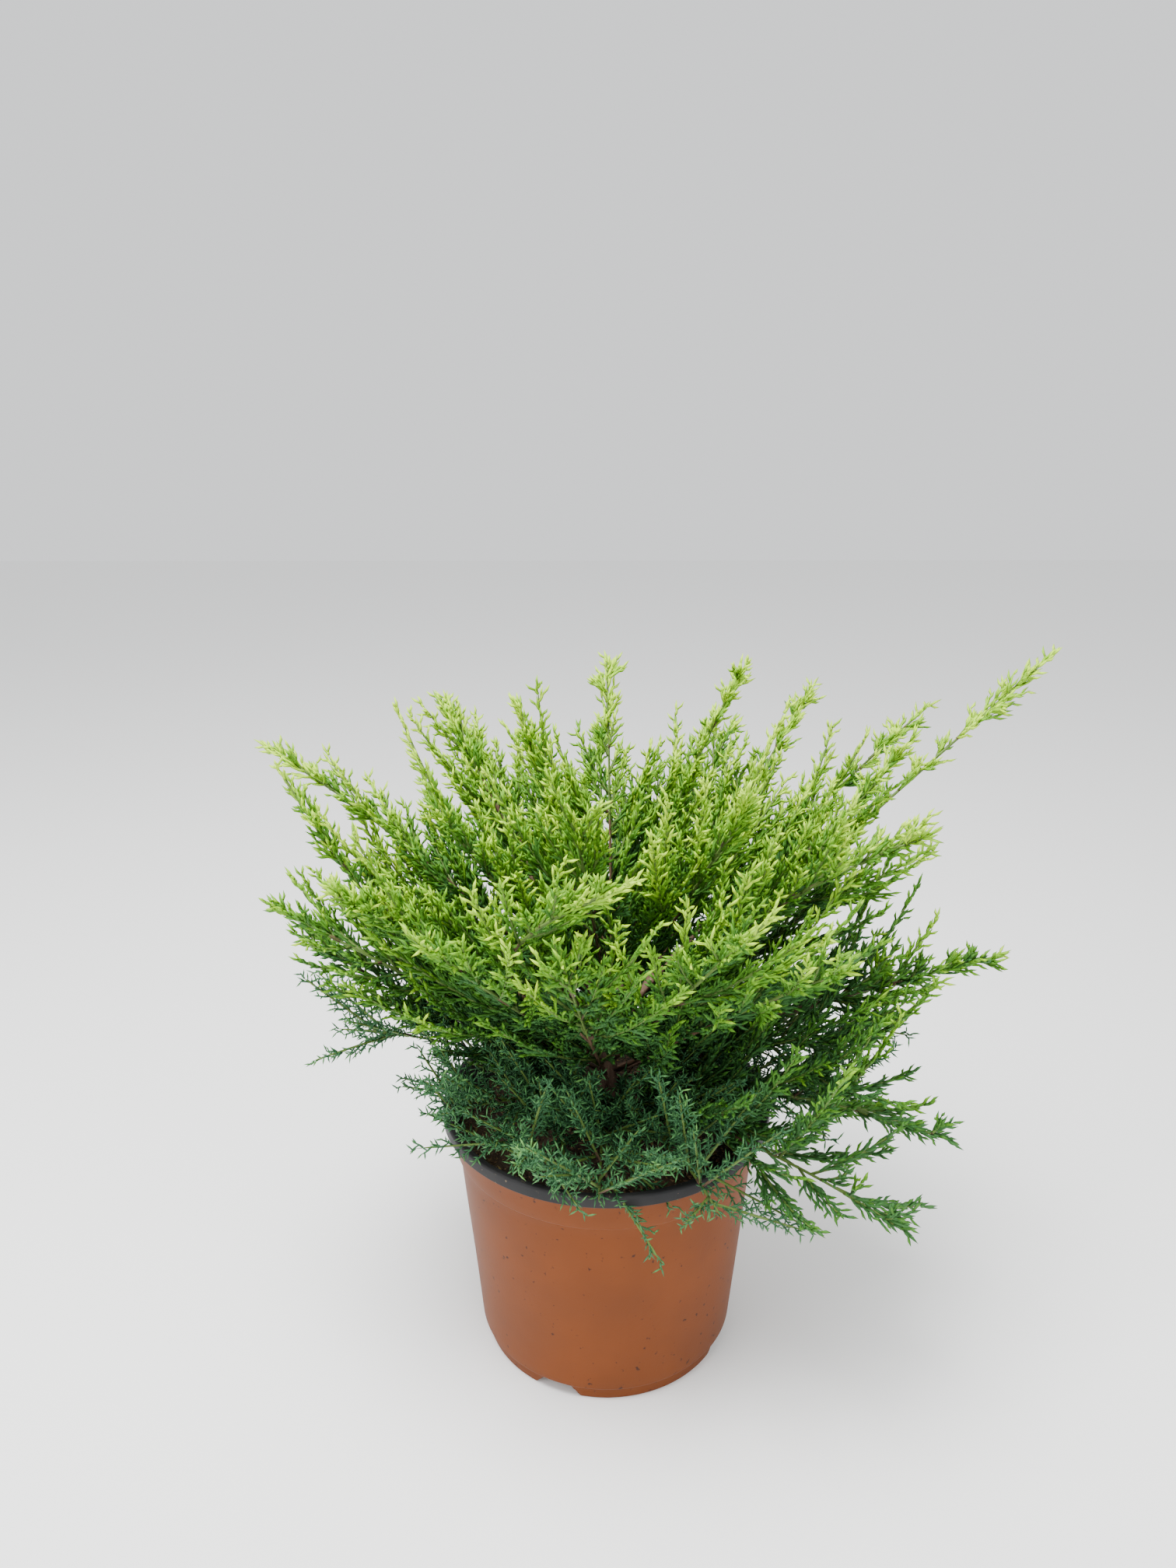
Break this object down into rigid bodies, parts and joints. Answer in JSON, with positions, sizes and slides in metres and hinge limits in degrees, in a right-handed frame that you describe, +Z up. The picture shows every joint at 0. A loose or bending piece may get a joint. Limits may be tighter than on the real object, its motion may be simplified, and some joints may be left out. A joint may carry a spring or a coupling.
{
  "type": "potted old gold juniper",
  "caption": "Low, spreading golden conifer shrub with arching boughs and feathery sprays of scale leaves, in a round, tapered plastic nursery pot filled with peat.",
  "frame": {"origin": "centre of the pot's underside, on the plane it stands on", "axes": "+Z up along the pot's axis, -Y towards the shrub's front, +X to the right as seen from the front"},
  "size_m": [0.4236, 0.3153, 0.407],
  "materials": {
    "pot": "thin formed terracotta-coloured plastic with a dark lip, lightly soiled",
    "soil": "dark crumbly peat",
    "bark": "thin red-brown bark that peels in strips",
    "scales": "satin yellow-green scale foliage",
    "needles": "matte blue-green needle foliage"
  },
  "bodies": {
    "root": {"bough_back_left": "bark", "bough_back_right": "bark", "bough_front_arch": "bark", "bough_front_bare": "bark", "bough_left_arch": "bark", "bough_left_sweep": "bark", "bough_right_back": "bark", "bough_right_bare": "bark", "bough_right_droop": "bark", "bough_right_high": "bark", "bough_right_long": "bark", "bough_right_near": "bark", "bough_top_left": "bark", "bough_top_nodding": "bark", "foliage_back_left": "scales", "foliage_back_mid": "scales", "foliage_back_right": "scales", "foliage_front_arch": "scales", "foliage_front_bare": "scales", "foliage_front_left": "scales", "foliage_front_mid": "scales", "foliage_front_right": "scales", "foliage_front_side": "scales", "foliage_inner_back_left": "scales", "foliage_inner_back_right": "scales", "foliage_inner_front": "scales", "foliage_inner_left": "scales", "foliage_inner_left_front": "scales", "foliage_inner_right": "scales", "foliage_inner_right_front": "scales", "foliage_left_arch": "scales", "foliage_left_low": "scales", "foliage_left_sweep": "scales", "foliage_left_under": "scales", "foliage_right_back": "scales", "foliage_right_bare": "scales", "foliage_right_droop": "scales", "foliage_right_fan": "scales", "foliage_right_hang": "scales", "foliage_right_high": "scales", "foliage_right_long": "scales", "foliage_right_near": "scales", "foliage_right_sprawl": "scales", "foliage_skirt_back": "needles", "foliage_skirt_back_left": "needles", "foliage_skirt_back_right": "needles", "foliage_skirt_front": "needles", "foliage_skirt_left": "needles", "foliage_skirt_mid": "needles", "foliage_skirt_over": "needles", "foliage_skirt_right": "needles", "foliage_skirt_rim": "needles", "foliage_skirt_side": "needles", "foliage_top_left": "scales", "foliage_top_middle": "scales", "foliage_top_nodding": "scales", "foliage_top_upright": "scales", "pot": "pot", "soil": "soil", "trunk": "bark"}
  },
  "joints": []
}
